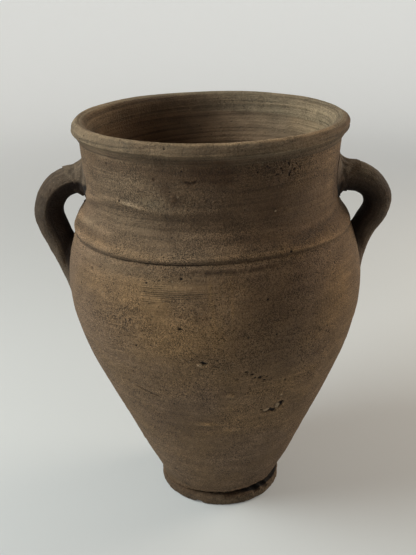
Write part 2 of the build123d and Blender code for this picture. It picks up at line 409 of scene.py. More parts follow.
# Handles: stations down the strap, each with the reach, height, thickness and width in millimetres
LEFT_STATIONS = (
    (108, 324.5, 24.5, 36), (126, 322.8, 25, 35), (146, 311.5, 26, 34), (152.8, 293.5, 26.2, 34),
    (147.3, 272.5, 27.5, 32), (139.5, 238.5, 16.5, 28), (133.5, 208, 8, 24),
)
RIGHT_STATIONS = (
    (108, 321, 28, 36), (128, 321.3, 27.5, 35), (148, 311.5, 26, 34), (153.3, 300, 25.6, 33),
    (151.2, 288.5, 23.6, 33), (143, 275.5, 22.5, 31), (137.5, 255.5, 15.5, 27), (135.4, 235, 9, 24),
    (133, 214, 6, 20),
)
TAIL_LEAN = 10

# Straps: side, 1 on the right and -1 on the left, stations, how pointed the section is, twist and seed
LEFT_STRAP = (-1, LEFT_STATIONS, 1.35, -6, 3)
RIGHT_STRAP = (1, RIGHT_STATIONS, 1, 0, 5)
HANDLE_BUMPS = ((30, 0.7, 63), (12, 0.35, 64), (5, 0.2, 65), (2.5, 0.1, 66))

# Lines from pulling a strap: distance round a ring of radius 1, height in millimetres and seed
PULL_LINES = ((0.16, 0.22, 61), (0.07, 0.12, 62))
PULL_LENGTH = 0.25

# Tail of a strap: it flares where it meets the wall, below a height
TAIL_FLARE = 5 * MM
TAIL_FLARE_REACH = 5 * MM
TAIL_FLARE_MOST = 1.4
TAIL_BELOW = (300 * MM, 285 * MM)

# Soot and bloom of straps and luting: soot shares down the length on the outer face, painted shade of
# the inner face, where one changes to the other round the section, and how that slides down the
# length, with the bloom down the length partly a painted highlight on top. Luting also has how clean
# its edge is, and torn bits: start and end in millimetres, and the radius at each
LEFT_LOOK = {
    "outer": ((0, 0.3), (0.15, 0.32), (0.33, 0.56), (0.5, 0.56), (0.65, 0.35), (0.8, 0.1), (1, 0.05)),
    "inner": 0.97, "change": (0.2, -0.15), "slide": -0.6, "bloom": ((0, 0), (1, 0)),
}
RIGHT_LOOK = {
    "outer": ((0, 0), (0.2, 0.05), (0.31, 0.42), (0.42, 0.3), (0.6, 0.25), (1, 0)),
    "inner": 0.9, "change": (0.55, -0.8), "slide": 0, "bloom": ((0, 0.55), (0.2, 0.55), (0.32, 0)),
}
LEFT_LUTING = {
    "outer": ((0, 0.22), (1, 0.22)),
    "inner": 0.95, "change": (0.05, -0.3), "slide": 0, "bloom": ((0, 0.1), (1, 0.1)), "clean": 0.1,
    "torn": (
        ((-130, -10.5, 322), (-117.3, -12.5, 311), (5, 1)),
        ((-115.6, -9, 305.6), (-118.4, -9, 304.6), (1.5, 0.6)),
    ),
}
RIGHT_LUTING = {
    "outer": ((0, 0.15), (1, 0.3)),
    "inner": 0.9, "change": (0.55, -0.8), "slide": 0, "bloom": ((0, 0.4), (1, 0.1)), "clean": 0,
    "torn": (((115.6, -9, 305.8), (118, -9, 304.4), (1.6, 0.4)),),
}
BLOOM_AND_HIGHLIGHT_FACE = (0.1, 0.7)

# Luting: how far it reaches along the strap and over the wall in millimetres, at its flanks and where
# it faces up, then its padding, facets and lips, how its edge is stained, and the painted shade under it
LUTING_UNEVEN = ((9, 0.35, 71),)
LUTING_REACH = {"all": 11, "up": 3}
LUTING_SPREAD = {"all": 6, "up": 2.5, "flank": 14.5}
LUTING_ROWS = 15
LUTING_PAD = 3.5 * MM
LUTING_SUNK = 2.5 * MM
LUTING_LIP = 0.9 * MM
LIP_RELIEF = 0.3
FACET_STRETCH = (1, 1, 0.4)
FACET_SCALE = 5 * MM
FACET_SEED = 72
FACET_RISE = 1 * MM
FACET_FALL = 3
SMEAR_BUMPS = ((8, 0.7, 73),)
LUTING_EDGE = (0.35, 1)
LUTING_UNDER = (0.3, -0.3)
LUTING_SHADE = 0.8
LIP_WIDTH = (0.3, 0)

# Torn bits of clay: fineness, how flat, torn and sooty they are
TONGUE_ROWS = 12
TONGUE_COLUMNS = 20
TONGUE_FLAT = 0.6
TONGUE_TEAR = 0.25
TONGUE_SCALE = 3 * MM
TONGUE_SEED = 91
TONGUE_SOOT = 0.8

# Colours of marks and grains
ASH = (0.163, 0.116, 0.073)
# Bloom, also used as painted light
BLOOM_AND_PAINTED_LIGHT = (0.243, 0.208, 0.143)
# Soot, also used as painted shade
SOOT_AND_SHADE = (0.071, 0.041, 0.022)
# Dark soot of the handles, also used as painted shade on their inner faces
DARK_SOOT_AND_SHADE = (0.013, 0.0065, 0.0035)
# Near black of the painted shade in pits, grooves, gaps and creases
HOLLOW_SHADE = (0.012, 0.009, 0.007)
PALE_STONE = (0.3, 0.22, 0.14)
PALE_GRAIN = (0.34, 0.26, 0.17)
DARK_GRAIN = (0.018, 0.013, 0.01)

# Clays: brown, grey, ochre, and soot also used for painted shade, shares of ochre and soot, sandiness and
# streakiness
CLAYS = {
    "wall_clay": (
        (0.182, 0.118, 0.066), (0.176, 0.117, 0.073), (0.25, 0.157, 0.077), SOOT_AND_SHADE, 0.4, 0.25, 1, 0.1,
    ),
    "rim_clay": (
        (0.176, 0.124, 0.075), (0.163, 0.127, 0.084), (0.33, 0.237, 0.14), SOOT_AND_SHADE, 0.25, 0.3, 0.55, 0.36,
    ),
    "handle_clay": (
        (0.132, 0.09, 0.058), (0.121, 0.092, 0.065), (0.168, 0.114, 0.067), DARK_SOOT_AND_SHADE, 0.25, 0.3, 0.5, 0,
    ),
    "foot_clay": (
        (0.146, 0.099, 0.061), (0.134, 0.102, 0.068), (0.184, 0.123, 0.069), SOOT_AND_SHADE, 0.2, 0.4, 1, 0.08,
    ),
}

# Noises in the clay: scale, detail and roughness, how the place is stretched first, and the low and
# high value between which the noise counts
NOISES = {
    "clouds": (13, 4, 0.6, None, 0.38, 0.62), "patches": (24, 4, 0.6, (1, 1, 1.6), 0.54, 0.74),
    "smoke": (8, 3, 0.55, None, 0.48, 0.72), "streaks": (1, 3, 0.65, (7, 7, 420), 0.3, 0.7),
    "mottle": (1, 4, 0.6, (48, 48, 95), 0.3, 0.7), "sand": (1250, 1, 0.5, None, 0.3, 0.7),
    "coarse": (520, 2, 0.6, None, 0.34, 0.66), "sandy": (24, 2, 0.5, None, 0.38, 0.62),
    "breaks": (1, 1, 0.5, (34, 34, 520), 0.4, 0.58),
}
SAND_SHADE = 0.74
COARSE_SHADE = 0.2
SANDY = (0.6, 1.05)
SAND_UNDER_SOOT_AND_SHADE = 0.65
WIPED_SAND = 0.25
WIPED_STREAKS = 0.24
MOTTLE = (0.84, 1.16)
# How far a place stands out, for the painted shade in hollows and the lighter worn ridges
RELIEF_REACH = 0.3 * MM
RELIEF_SHADE = (0.75, 1.25)
LEAST_SHADE = 0.15
STAINED = (0.3, 0.6)
GRAIN_SCALE = 520
GRAIN_CHANCE = (0.955, 0.97)
GRAIN_EDGE = (0.45, 0.25)
ROUGH_PALE = 0.22
ROUGH_DARK = 0.36
PALE_SHARE = 0.45
DARK_SHARE = (0.6, 0.95)
BUMP_DEPTH = 1.1 * MM
BUMP_SAND = 0.5
BUMP_GRAIN = 0.6
BUMP_STREAK = 5
BUMP_STREAK_MOST = 0.5
ROUGHNESS = (0.3, 0.7, 0.8, 0.95)
SPECULAR = 0.3

# Stage: the flat of the floor, its curve and top, and a glow that only the eye sees
STAGE_FLAT = 1.7
STAGE_CURVE = 0.9
STAGE_TOP = 2.6
STAGE_HUB = 0.05
STAGE_STEPS = 17
STAGE_SIDES = 96
STAGE_COLOUR = (0.57, 0.61, 0.63, 1)
STAGE_ROUGHNESS = 0.9
STAGE_GLOW_COLOUR = (0.95, 0.965, 0.94, 1)
STAGE_GLOW = (0.12, 0.54)
STAGE_GLOW_REACH = (0.5, 2.6)

# Lamps: name, place, side, power, colour and the angle that the light spreads over
LAMPS = (
    ("window", (-1.115, -0.26, 1.10), 0.9, 20.3, (0.95, 0.98, 0.94), 180),
    ("bounce", (1.2, 0.55, 0.6), 0.7, 5.3, (1.0, 0.86, 0.70), 130),
)
LAMP_AIM = (0, 0, 0.2)
WORLD_COLOUR = (1.0, 0.69, 0.49, 1)
WORLD_STRENGTH = 0.24


# Curves in a section, with the radius first and the height second

def leaning(angle):
    """Upward direction in a section that leans outwards from the vertical by an angle."""
    return np.array([math.sin(math.radians(angle)), math.cos(math.radians(angle))])


def smooth_curve(points, start, end, count=400):
    """Cubic curve through points, of any number of values each, with given end directions."""
    points = np.array(points, dtype=float)
    gaps = np.linalg.norm(np.diff(points[:, :2], axis=0), axis=1)
    number = len(points)
    matrix = np.zeros((number, number))
    right = np.zeros_like(points)
    matrix[0, 0] = matrix[-1, -1] = 1
    right[0, :2] = start
    right[-1, :2] = end
    for i in range(1, number - 1):
        before, after = gaps[i - 1], gaps[i]
        matrix[i, i - 1:i + 2] = [after, 2 * (before + after), before]
        right[i] = 3 * (after * (points[i] - points[i - 1]) / before
                        + before * (points[i + 1] - points[i]) / after)
    slopes = np.linalg.solve(matrix, right)
    pieces = []
    for i, gap in enumerate(gaps):
        t = np.linspace(0, 1, count, endpoint=(i == number - 2))[:, None]
        pieces.append((1 + 2 * t) * (1 - t) ** 2 * points[i] + t * (1 - t) ** 2 * gap * slopes[i]
                      + t ** 2 * (3 - 2 * t) * points[i + 1] + t ** 2 * (t - 1) * gap * slopes[i + 1])
    return np.concatenate(pieces)


def spaced(line, step):
    """The same line with its points about a step apart."""
    lengths = np.cumsum(np.linalg.norm(np.diff(line[:, :2], axis=0), axis=1))
    lengths = np.concatenate([[0], lengths])
    places = np.linspace(0, lengths[-1], max(2, round(lengths[-1] / step) + 1))
    return np.stack([np.interp(places, lengths, values) for values in line.T], axis=1)


def between_heights(line, low, high):
    """The stretch of a rising line between two heights."""
    inside = line[(line[:, 1] > low) & (line[:, 1] < high)]
    ends = [[np.interp(height, line[:, 1], line[:, 0]), height] for height in (low, high)]
    return np.concatenate([ends[:1], inside, ends[1:]])


def wall_line(points):
    """One side of the wall from below the foot's top to above the mouth."""
    body, mouth = points[:-1], points[-1]
    lower = smooth_curve(body, leaning(BASE_FLARE), leaning(0))
    upper = smooth_curve([body[-1], mouth], leaning(0), leaning(MOUTH_FLARE))
    lead = points[0] - leaning(BASE_FLARE) * WALL
    tail = mouth + leaning(MOUTH_FLARE) * WALL
    return np.concatenate([[lead], lower, upper[1:], [tail]])


def inside_of(line):
    """The line one wall thickness towards the axis."""
    along = np.gradient(line, axis=0)
    along /= np.linalg.norm(along, axis=1)[:, None]
    return line + np.stack([-along[:, 1], along[:, 0]], axis=1) * WALL


outer_line = wall_line(np.array([
    (BASE_RADIUS, FOOT_TOP),
    ((BASE_RADIUS + BELLY_RADIUS) / 2 + FLANK_SWELL, (FOOT_TOP + BELLY_Z) / 2),
    (BELLY_RADIUS, BELLY_Z),
    (SEAM_RADIUS, SEAM_Z),
    (SHOULDER_RADIUS, SHOULDER_Z),
    (NECK_RADIUS, NECK_Z),
    (MOUTH_RADIUS, MOUTH_Z),
]))
inner_line = inside_of(outer_line)


def outer_radius(height):
    """Radius of the wall's outside at a height."""
    return np.interp(height, outer_line[:, 1], outer_line[:, 0])


# Unevenness

def smooth_step(low, high, value):
    """Smooth rise from 0 at low to 1 at high."""
    share = np.clip((value - low) / (high - low), 0, 1)
    return share * share * (3 - 2 * share)


def hump(value, reach):
    """Smooth hump: 1 where a value is 0, and fading away within a reach."""
    return np.exp(-(value / reach) ** 2)


def lattice_noise(points, scale, seed):
    """Smooth noise from -1 to 1, for points in space, with bumps about a scale apart."""
    chance = np.random.default_rng(seed)
    table = chance.uniform(-1, 1, (NOISE_CELLS,) * 3)
    turn, _ = np.linalg.qr(chance.normal(size=(3, 3)))
    cell = points @ turn / scale
    base = np.floor(cell).astype(int)
    share = smooth_step(0, 1, cell - base)
    total = np.zeros(points.shape[:-1])
    for corner in np.ndindex(2, 2, 2):
        index = (base + np.array(corner)) % NOISE_CELLS
        weight = np.prod(np.where(np.array(corner) == 1, share, 1 - share), axis=-1)
        total += weight * table[index[..., 0], index[..., 1], index[..., 2]]
    return total


def layered(points, layers):
    """Several layers of noise together, each a distance in millimetres, a strength and a seed."""
    return sum(strength * lattice_noise(points, scale * MM, seed) for scale, strength, seed in layers)


def throwing_lines(points):
    """Depth of the lines that fingers leave round a turning pot."""
    depth = np.zeros(points.shape[:-1])
    for scale, height, seed in THROWING_LINES:
        table = np.random.default_rng(seed).uniform(-1, 1, LINE_COUNT)
        wander = LINE_WANDER * lattice_noise(points, LINE_WANDER_SCALE, seed + LINE_SEEDS["wander"])
        cell = points[..., 2] / (scale * MM) + wander
        base = np.floor(cell).astype(int)
        share = smooth_step(0, 1, cell - base)
        low = table[base % LINE_COUNT]
        high = table[(base + 1) % LINE_COUNT]
        fade = lattice_noise(points, LINE_FADE_SCALE, seed + LINE_SEEDS["fade"])
        fade = LINE_FADE[0] + LINE_FADE[1] * fade
        depth += height * MM * fade * (low + (high - low) * share)
    return depth


def relief_of(depth):
    """How far each place of a grid stands out from the mean round it."""
    steps = range(-RELIEF_CELLS, RELIEF_CELLS + 1)
    mean = sum(np.roll(depth, step, axis=0) for step in steps) / len(steps)
    mean = sum(np.roll(mean, step, axis=1) for step in steps) / len(steps)
    return depth - mean


def warped(points):
    """Points of the true form moved to where the leaning, uneven pot has them."""
    x, y, z = points[..., 0], points[..., 1], points[..., 2]
    angle = np.arctan2(x, -y)
    tilt = SEAM_TILT["sine"] * np.sin(angle) + SEAM_TILT["cosine"] * np.cos(angle)
    tilt = tilt + SEAM_TILT["sine_twice"] * np.sin(2 * angle)
    tilt = tilt + SEAM_TILT["cosine_twice"] * np.cos(2 * angle)
    near = np.clip(1 - ((z - SEAM_Z) / SEAM_TILT_REACH) ** 2, 0, 1) ** 2
    return np.stack([x + LEAN * z, y, z + tilt * near], axis=-1)


# Clay surfaces

def no_marks(shape):
    """An empty layer for each mark."""
    return {mark: np.zeros(shape) for mark in MARKS}


class Skin:
    """The surface of a piece that is turned round the axis: its points, a depth and marks.

    Its section is made of runs, each a line and its share of the marks of use and wear and of painted
    shade and light. A place on it is an angle, and a height, a half width and a half height in
    millimetres.
    """

    def __init__(self, runs, columns, closed=True):
        self.closed = closed
        front = np.linspace(-FRONT_REACH, FRONT_REACH, columns[0], endpoint=False)
        back = np.linspace(FRONT_REACH, 360 - FRONT_REACH, columns[1], endpoint=False)
        self.angle = np.concatenate([front, back])[None, :]
        section = np.concatenate([line for line, _ in runs])
        outside = np.concatenate([np.full(len(line), share) for line, share in runs])
        along = np.concatenate([np.gradient(line, axis=0) for line, _ in runs])
        along /= np.linalg.norm(along, axis=1)[:, None]
        self.points = self.spin(section)
        self.normals = self.spin(np.stack([along[:, 1], -along[:, 0]], axis=1))
        self.radius = section[:, :1]
        self.height = section[:, 1:]
        self.level = warped(self.points)[..., 2]
        self.outside = outside[:, None]
        self.depth = np.zeros(self.points.shape[:2])
        self.marks = no_marks(self.points.shape[:2])
        self.ragged = 1 + layered(self.points, RAGGED)
        self.cloudy = 1 + layered(self.points, CLOUDY)

    def spin(self, profile):
        """A profile turned round the axis, one column for each angle."""
        turn = np.radians(self.angle[0])
        out = np.stack([np.sin(turn), -np.cos(turn)], axis=1)
        flat = profile[:, 0][:, None, None] * out[None]
        high = np.broadcast_to(profile[:, 1][:, None, None], flat.shape[:2] + (1,))
        return np.concatenate([flat, high], axis=2)

    def reach(self, place):
        """Squared distance from a place, as a share of its half width and half height."""
        angle, height, half_width, half_height = place
        turn = (self.angle - angle + 180) % 360 - 180
        across = np.radians(turn) * self.radius / (half_width * MM)
        above = (self.level - height * MM) / (half_height * MM)
        return across ** 2 + above ** 2

    def spot(self, place, steepness=SPOT_STEEPNESS):
        """Share of a ragged spot at each point: 1 in the middle, 0 outside."""
        return np.exp(-(self.reach(place) * self.ragged) ** steepness) * self.outside

    def patch(self, place):
        """Share of a soft, cloudy patch at each point."""
        return np.exp(-self.reach(place) * self.cloudy) * self.outside

    def stroke(self, half_width, places):
        """Share of a line through (angle, height) places: 1 on it, 0 away from it."""
        angles, heights = np.array(places, dtype=float).T
        middle = (angles[0] + angles[-1]) / 2
        angle = (self.angle - middle + 180) % 360 - 180 + middle
        above = self.level - np.interp(angle, angles, heights * MM)
        span = (angles[-1] - angles[0]) / STROKE_ENDS
        ends = smooth_step(angles[0] - span, angles[0] + span, angle)
        ends = ends * (1 - smooth_step(angles[-1] - span, angles[-1] + span, angle))
        return hump(above, half_width * MM) * ends * self.outside

    def around(self, places):
        """A value at each angle, from (angle, value) places all round."""
        return np.interp(self.angle, *zip(*places), period=360)

    def outer(self, places):
        """A value at each angle, on the outside alone."""
        return self.around(places) * self.outside

    def stain(self, tint, amount):
        """More of a tint."""
        self.marks[tint] += amount

    def unevenness(self, lines, sandy):
        """Dents of the hand, throwing lines and sand."""
        self.depth += MM * layered(self.points, HAND_BUMPS) + lines * throwing_lines(self.points)
        self.depth += MM * layered(self.points, SAND_BUMPS) * sandy

    def pit(self, place, depth):
        """A pit, darkened with painted shade."""
        share = self.spot(place, PIT_STEEPNESS)
        self.depth -= share * depth * MM
        self.stain("hole", share)

    def stone(self, place, rise):
        """A pale bit of stone."""
        share = self.spot(place, PIT_STEEPNESS)
        self.depth += share * rise * MM
        self.stain("pale", share)
        self.marks["hole"] *= 1 - share

    def rough(self, place, strength):
        """A rough patch."""
        share = strength * self.patch(place)
        self.depth += share * MM * layered(self.points, ROUGH_BUMPS)
        self.stain("rough", share)
        self.stain("soot", ROUGH_SOOT * share)

    def lump(self, place, rise, ochre):
        """A lump of clay, worn ochre."""
        share = self.patch(place)
        self.depth += share * rise * MM
        self.stain("ochre", share * ochre)

    def dress(self, piece):
        """The pits, rough patches, stones and lumps of a piece."""
        kinds = ((self.pit, PITS), (self.rough, ROUGH), (self.stone, STONES), (self.lump, LUMPS))
        for make, table in kinds:
            for row in table[piece]:
                make(row[:4], *row[4:])

    def ridge(self, half_width, rise, ochre, places):
        """A ridge with a hollow under it, and painted shadow in the hollow."""
        share = self.stroke(half_width, places)
        drop = RIDGE_HOLLOW["drop"] * half_width
        lower = [(angle, height - drop) for angle, height in places]
        below = self.stroke(half_width * RIDGE_HOLLOW["wide"], lower)
        self.depth += (share - RIDGE_HOLLOW["deep"] * below) * rise * MM
        self.stain("ochre", share * ochre)
        self.stain("soot", below * RIDGE_HOLLOW["soot"])

    def scratches(self, piece):
        """Scratches with painted shade at the bottom."""
        gain, loss = SCRATCH_BREAKS
        for half_width, depth, places in SCRATCHES[piece]:
            share = self.stroke(half_width, places) * np.clip(gain * self.ragged - loss, 0, 1)
            self.depth -= share * depth * MM
            self.stain("soot", share * SCRATCH_SHADE)

    def scatter_pits(self, piece):
        """Small pits by chance between two heights, darkened with painted shade."""
        count, seed, low, high = SMALL_PITS[piece]
        chance = np.random.default_rng(seed)
        for _ in range(count):
            angle = chance.uniform(-180, 180)
            height = chance.uniform(low, high) / MM
            size = chance.uniform(*SMALL_PIT_SIZES)
            place = (angle, height, size, size * chance.uniform(*SMALL_PIT_SHAPES))
            share = self.spot(place, PIT_STEEPNESS)
            self.depth -= share * chance.uniform(*SMALL_PIT_DEPTHS) * MM
            self.stain("soot", share * SMALL_PIT_SHADE)

    def patches(self):
        """Patches of every tint, with soft edges."""
        for tint, rows in PATCHES.items():
            for row in rows:
                self.stain(tint, row[4] * self.patch(row[:4]))

    def finish_wall(self, piece):
        """What comes last on a length of the wall: small pits, patches, and a wiped inside with painted
        shade at the back and left.
        """
        self.scatter_pits(piece)
        self.patches()
        self.stain("soot", self.around(INSIDE_PAINTED_SHADE) * (1 - self.outside))
        self.stain("wiped", 1 - self.outside)

    def finish(self, name):
        """A mesh object of the skin, with no point below the ground."""
        points = warped(self.points + self.normals * self.depth[..., None])
        points[..., 2] = np.maximum(points[..., 2], 0)
        marks = {mark: np.clip(amount, 0, 1) for mark, amount in self.marks.items()}
        marks["relief"] = relief_of(self.depth)
        return make_mesh(name, [(points, self.closed, marks)])


# Meshes

def put(name, data):
    """An object in the scene."""
    thing = bpy.data.objects.new(name, data)
    bpy.context.scene.collection.objects.link(thing)
    return thing


def grid_faces(rows, columns, closed):
    """Four-sided faces of a grid whose columns join up, and whose rows do too if it is closed."""
    row = np.arange(rows if closed else rows - 1)[:, None] * columns
    above = (row + columns) % (rows * columns)
    column = np.arange(columns)[None, :]
    after = (column + 1) % columns
    corners = [row + column, row + after, above + after, above + column]
    return np.stack(np.broadcast_arrays(*corners), axis=-1).reshape(-1, 4)


def make_mesh(name, grids):
    """A mesh object from (points, closed, marks) grids. A point at each end closes an open grid."""
    points, faces, marks = [], [], []
    for grid, closed, layers in grids:
        rows, columns = grid.shape[:2]
        start = len(points)
        mark = np.stack([layers[name] for name in MARKS], axis=-1)
        points.extend(grid.reshape(-1, 3).tolist())
        marks.extend(mark.reshape(-1, len(MARKS)).tolist())
        faces.extend((grid_faces(rows, columns, closed) + start).tolist())
        if not closed:
            first = len(points)
            top = start + (rows - 1) * columns
            points.extend([grid[0].mean(axis=0).tolist(), grid[-1].mean(axis=0).tolist()])
            marks.extend([mark[0].mean(axis=0).tolist(), mark[-1].mean(axis=0).tolist()])
            for column in range(columns):
                after = (column + 1) % columns
                faces.append([first, start + after, start + column])
                faces.append([first + 1, top + column, top + after])
    mesh = bpy.data.meshes.new(name)
    mesh.from_pydata(points, [], faces)
    mesh.shade_smooth()
    mesh.set_sharp_from_angle(angle=math.radians(SHARP_ANGLE))
    for mark, values in zip(MARKS, np.array(marks, dtype=np.float32).T):
        layer = mesh.attributes.new(mark, "FLOAT", "POINT")
        layer.data.foreach_set("value", np.ascontiguousarray(values))
    return put(name, mesh)


# Pieces of the wall

def make_belly():
    """Lower length of the wall."""
    low = spaced(between_heights(outer_line, FOOT_TOP - FOOT_LAP, FINE_FROM), PLAIN_STEP)
    high = spaced(between_heights(outer_line, FINE_FROM, SEAM_Z), FINE_STEP)
    outside = np.concatenate([low[:-1], high])
    inside = between_heights(inner_line, FOOT_TOP - FOOT_LAP, SEAM_Z + BEVEL_RISE)
    skin = Skin([(outside, 1.0), (spaced(inside, INNER_STEP)[::-1], 0.0)], BELLY_COLUMNS)
    skin.unevenness(1, skin.outside)
    skin.dress("belly")
    groove = hump(SEAM_Z - skin.height, GROOVE_REACH * skin.ragged) * skin.outer(GROOVE_SHARE)
    skin.depth -= GROOVE_DEPTH * groove
    # Painted shade in the groove under the band
    skin.stain("hole", GROOVE_SHADE * groove)
    skin.scratches("belly")
    skin.stain("comb", np.clip(COMB_STRENGTH * skin.patch(COMB_PATCH), 0, 1))
    above_foot = skin.height - FOOT_TOP
    smear = np.exp(-above_foot / SMEAR_REACH) * skin.outer(SMEAR_SHARE)
    skin.depth += SMEAR_RISE * np.clip(smear, 0, 1)
    gap_reach = skin.around(FOOT_GAP_REACH) * MM * skin.ragged
    gap = hump(above_foot, gap_reach) * skin.outer(FOOT_GAP_SHARE)
    skin.depth -= FOOT_GAP * gap
    # Painted shade in the gap above the foot
    skin.stain("hole", FOOT_GAP_SHADE * gap)
    # Painted shade on the lowest part of the wall, above the foot
    low_shade = smooth_step(FOOT_SHADE_REACH, 0, above_foot)
    skin.stain("soot", FOOT_SHADE * low_shade * skin.outer(FOOT_SHADE_SHARE))
    skin.finish_wall("belly")
    return skin.finish("belly_wall_clay")


def make_neck():
    """Upper length of the wall, with the band that laps over the seam."""
    ledge = np.array([BAND_RADIUS, SEAM_Z])
    chord = np.array([SHOULDER_RADIUS, SHOULDER_Z]) - ledge
    crown = np.array([chord[1], -chord[0]]) / np.linalg.norm(chord) * BAND_CROWN
    share = np.linspace(0, 1, BAND_STEPS)[:, None]
    band = ledge + chord * share + crown * 4 * share * (1 - share)
    collar = between_heights(outer_line, SHOULDER_Z, MOUTH_Z + MOUTH_LAP)
    outside = spaced(np.concatenate([band, collar[1:]]), FINE_STEP)
    inside = between_heights(inner_line, SEAM_Z + BEVEL_RISE, MOUTH_Z + MOUTH_LAP)
    inside = spaced(inside, NECK_INNER_STEP)[::-1]
    skin = Skin([(outside, 1.0), (inside, 0.0), (np.array(UNDER_BAND), 0.0)], NECK_COLUMNS)
    skin.unevenness(NECK_LINES, skin.outside)
    skin.dress("neck")
    below_edge = (skin.around(BAND_EDGE) * MM - skin.level) / BAND_UNDERCUT_REACH
    undercut = np.clip(below_edge, 0, 1) * skin.outside
    skin.depth -= BAND_UNDERCUT * undercut
    # Painted shade on the undercut below the band's edge
    skin.stain("soot", BAND_UNDERCUT_SHADE * undercut)
    for ridge in NECK_RIDGES:
        skin.ridge(*ridge)
    skin.scratches("neck")
    skin.finish_wall("neck")
    # Painted light inside the mouth at the right, fading downwards
    mouth = smooth_step(MOUTH_Z - INSIDE_REACH, MOUTH_Z, skin.height) * (1 - skin.outside)
    skin.stain("bloom", mouth * skin.around(INSIDE_PAINTED_LIGHT))
    skin.stain("ochre", mouth * skin.around(INSIDE_PAINTED_LIGHT_OCHRE))
    return skin.finish("shoulder_neck_clay")


def make_rim():
    """Coil of the rim."""
    line = smooth_curve(np.array(RIM_SECTION) * MM, leaning(MOUTH_FLARE), -leaning(MOUTH_FLARE))
    skin = Skin([(spaced(line, RIM_STEP), 1.0)], RIM_COLUMNS)
    outer = smooth_step(*RIM_OUTER, skin.radius)
    inner = smooth_step(*RIM_INNER, skin.radius)
    face = outer * smooth_step(UNDERCUT_Z, RIDGE_Z, skin.height)
    under = outer * smooth_step(RIDGE_Z, UNDERCUT_Z, skin.height)
    skin.unevenness(NECK_LINES + (RIM_LINES - NECK_LINES) * face, 1)
    roll = outer * hump(skin.height - ROLL_Z, ROLL_REACH)
    skin.depth += ROLL_RISE * roll * skin.around(ROLL_SHARE)
    worn = RIM_WEAR + layered(skin.points, RIM_WEAR_CLOUDS)
    skin.stain("ochre", RIDGE_OCHRE * worn * hump(skin.height - RIDGE_Z, RIDGE_REACH))
    # Worn, paler arris of the crest, partly a painted highlight
    arris = smooth_step(*ARRIS_UP, skin.height) * skin.around(ARRIS_SHARE)
    skin.stain("ochre", ARRIS_WEAR_AND_HIGHLIGHT * worn * arris * smooth_step(*ARRIS_OUT, skin.radius))
    # Painted light on the inside of the rim at the right
    skin.stain("bloom", inner * skin.around(INSIDE_PAINTED_LIGHT))
    skin.stain("ochre", inner * skin.around(INSIDE_PAINTED_LIGHT_OCHRE))
    skin.stain("bloom", (1 - inner) * (1 - under) * skin.around(RIM_BLOOM))
    skin.stain("ash", UNDERCUT_ASH * under)
    skin.stain("soot", face * smooth_step(*BELOW_CREST, skin.height) * skin.around(RIM_SOOT))
    # Painted shade in the undercut below the rim's ridge; where its share is low, the undercut is filled
    # instead
    undercut = outer * hump(skin.height - UNDERCUT_Z, UNDERCUT_REACH)
    undercut_share = skin.around(UNDERCUT_SHARE)
    skin.stain("soot", UNDERCUT_SHADE * undercut * undercut_share)
    skin.depth += UNDERCUT_FILL * undercut * (1 - undercut_share)
    # Painted shade on the inside of the rim at the back and left
    skin.stain("soot", inner * skin.around(INSIDE_PAINTED_SHADE))
    for *place, depth in PITS["rim"]:
        skin.pit(place, depth)
    skin.outside = under
    skin.patches()
    return skin.finish("rim_coil_clay")


def make_foot():
    """Disc that the pot stands on."""
    quarter = np.linspace(0, math.pi / 2, EDGE_STEPS)
    reach = FOOT_RADIUS - FOOT_EDGE
    low = np.stack([reach + FOOT_EDGE * np.sin(quarter), FOOT_EDGE - FOOT_EDGE * np.cos(quarter)], axis=1)
    high = low[::-1] * [1, -1] + [0, FOOT_TOP]
    start, end = [[reach - FLAT_STEP, 0]], [[reach - FLAT_STEP, FOOT_TOP]]
    edge = spaced(np.concatenate([start, low, high, end]), FINE_STEP)
    underside = spaced(np.array([[FLAT_STEP, 0], edge[0]]), FLAT_STEP)[:-1]
    top = spaced(np.array([edge[-1], [FLAT_STEP, FOOT_TOP]]), FLAT_STEP)[1:]
    skin = Skin([(underside, 0.0), (edge, 1.0), (top, 0.0)], FOOT_COLUMNS, closed=False)
    skin.depth += MM * layered(skin.points, FOOT_BUMPS) * skin.outside
    for *place, depth in FOOT_CHIPS:
        share = skin.spot(place)
        skin.depth -= depth * MM * share
        skin.stain("soot", CHIP_SOOT * share)
    # Painted shade on the foot's edge
    skin.stain("soot", FOOT_SHADE * skin.outer(FOOT_SHADE_SHARE))
    upper = smooth_step(*UPPER_FOOT, skin.height)
    # The top of the foot's edge darkened where the gap is
    skin.stain("soot", UPPER_FOOT_DARKENING * upper * skin.outer(FOOT_GAP_SHARE))
    ledge = smooth_step(*FOOT_LEDGE, skin.radius) * upper
    # Painted shade on the foot's ledge beside the gap
    skin.stain("hole", ledge * skin.outer(FOOT_LEDGE_SHARE))
    return skin.finish("foot_disc_clay")


# Handles

def ring_angles(count):
    """Angles round a ring, in radians."""
    return np.linspace(0, 2 * math.pi, count, endpoint=False)


def unit(vectors):
    """Vectors of length 1 in the same directions."""
    return vectors / np.linalg.norm(vectors, axis=-1)[..., None]


def strap_grid(side, stations, pointed, twist):
    """Points of one strap: rows down its length, and columns round it from its outer face."""
    line = spaced(smooth_curve(np.array(stations) * MM, (1, 0), -leaning(TAIL_LEAN)), FINE_STEP)
    centre = line[:, :2]
    along = unit(np.gradient(centre, axis=0))
    outward = np.stack([-along[:, 1], along[:, 0]], axis=1)
    turn = ring_angles(HANDLE_COLUMNS)
    thick = np.sign(np.cos(turn)) * np.abs(np.cos(turn)) ** pointed
    thick = line[:, 2][:, None] / 2 * thick
    wide = line[:, 3][:, None] / 2 * np.sin(turn)
    swing = math.radians(twist)
    out = thick * math.cos(swing) - wide * math.sin(swing)
    sideways = thick * math.sin(swing) + wide * math.cos(swing)
    flat = centre[:, None, :] + outward[:, None, :] * out[..., None]
    return np.stack([side * flat[..., 0], -sideways, flat[..., 1]], axis=-1)


